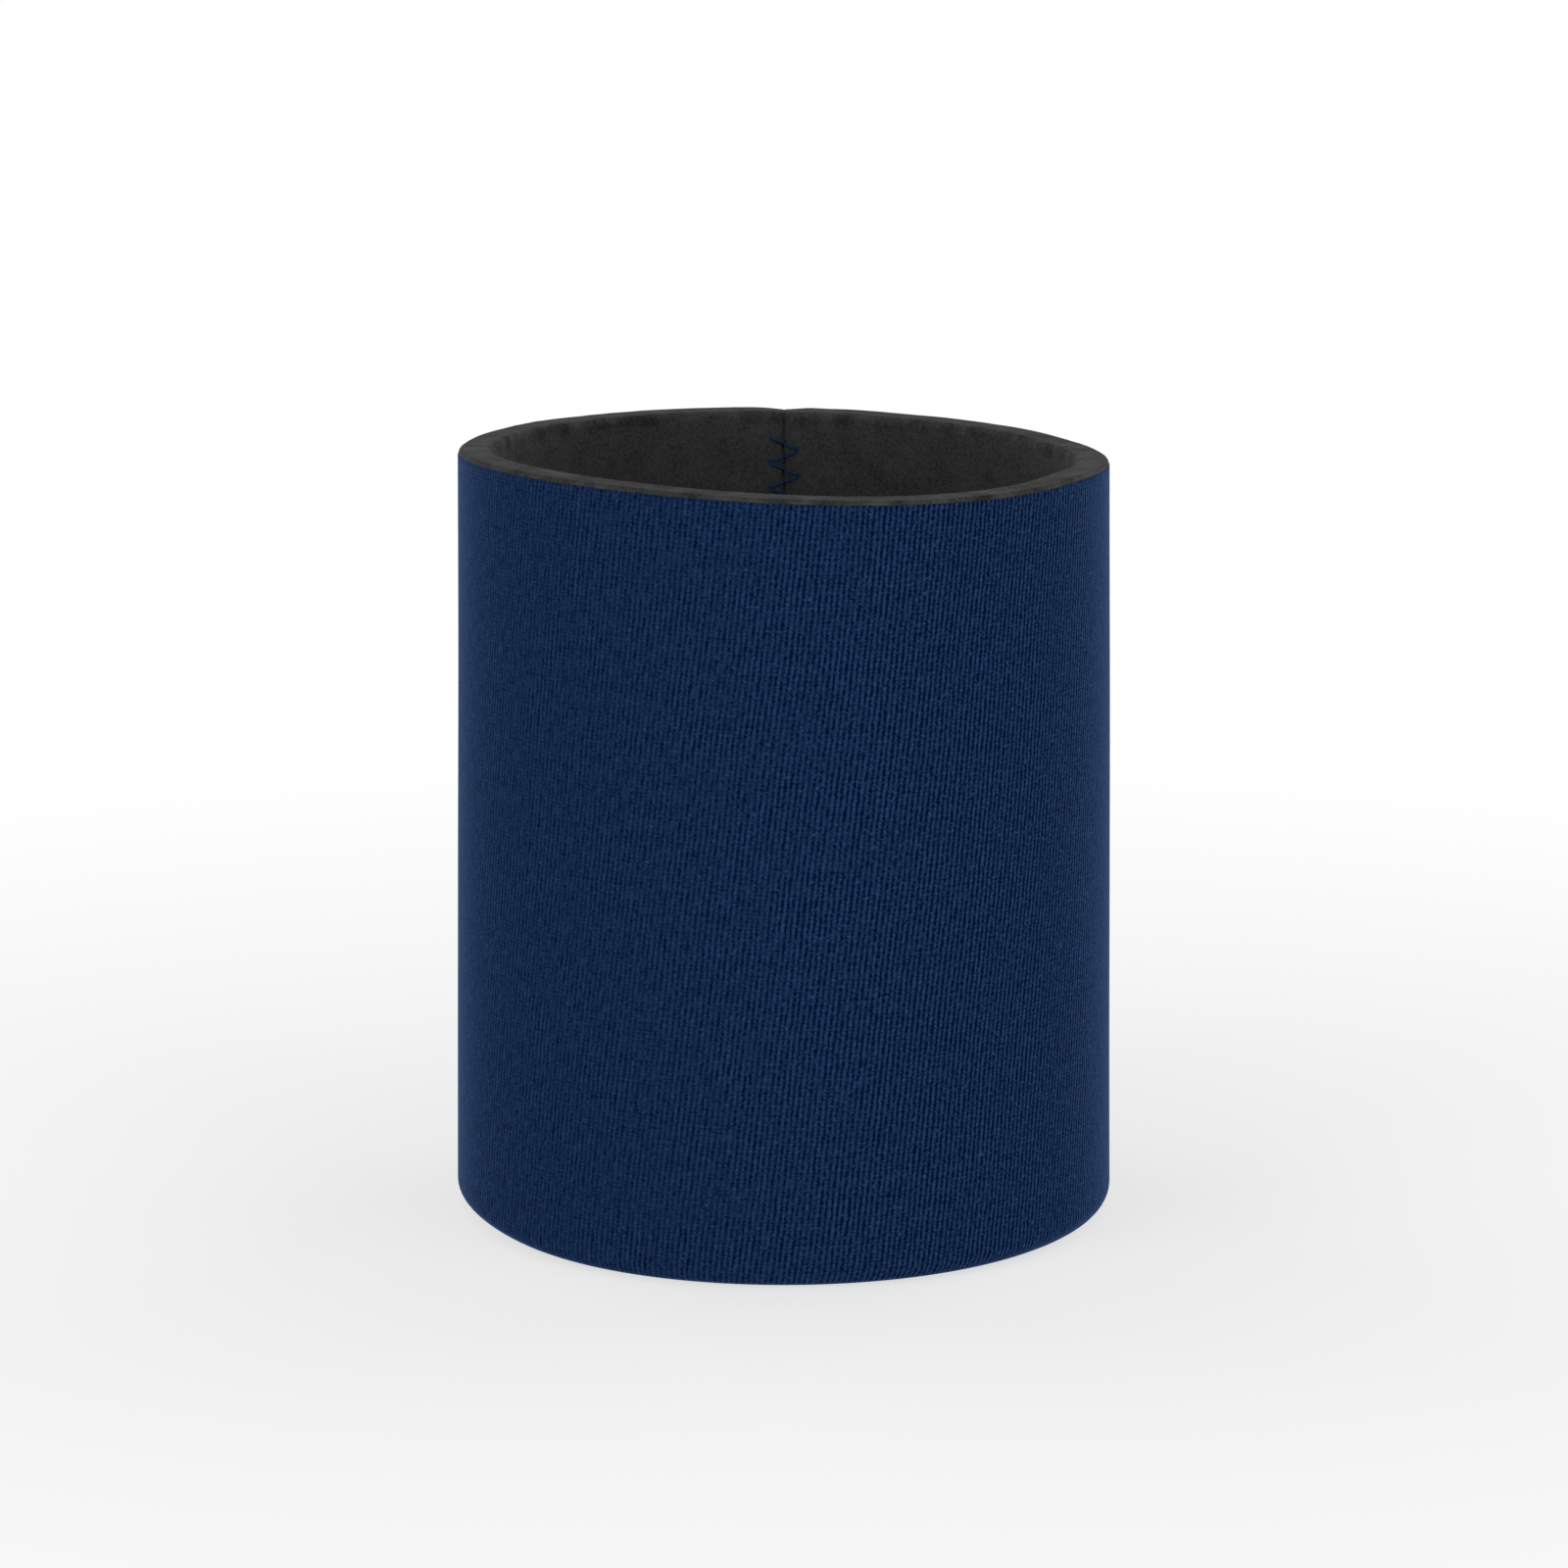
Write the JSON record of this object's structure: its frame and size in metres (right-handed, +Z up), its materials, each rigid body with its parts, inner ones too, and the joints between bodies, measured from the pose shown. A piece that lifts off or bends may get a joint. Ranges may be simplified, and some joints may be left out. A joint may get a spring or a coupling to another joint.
{
  "type": "can cooler sleeve",
  "caption": "Insulating foam sleeve faced with navy knit: an open tube, closed by a back seam, that slides over a drink can.",
  "frame": {"origin": "centre of the sleeve's bottom edge, on the tube's axis, on the surface it stands on", "axes": "+Z up along the tube's axis, -Y to the front, +Y to the back seam, +X to the right seen from the front"},
  "size_m": [0.0752, 0.0759, 0.0898],
  "materials": {
    "foam": "matte charcoal closed-cell foam",
    "knit": "navy fine-rib jersey knit, soft sheen",
    "thread": "navy twisted sewing thread"
  },
  "bodies": {
    "root": {"foam_core": "foam", "outer_knit": "knit", "seam_thread_outer": "thread", "seam_thread_inner": "thread"}
  },
  "joints": []
}
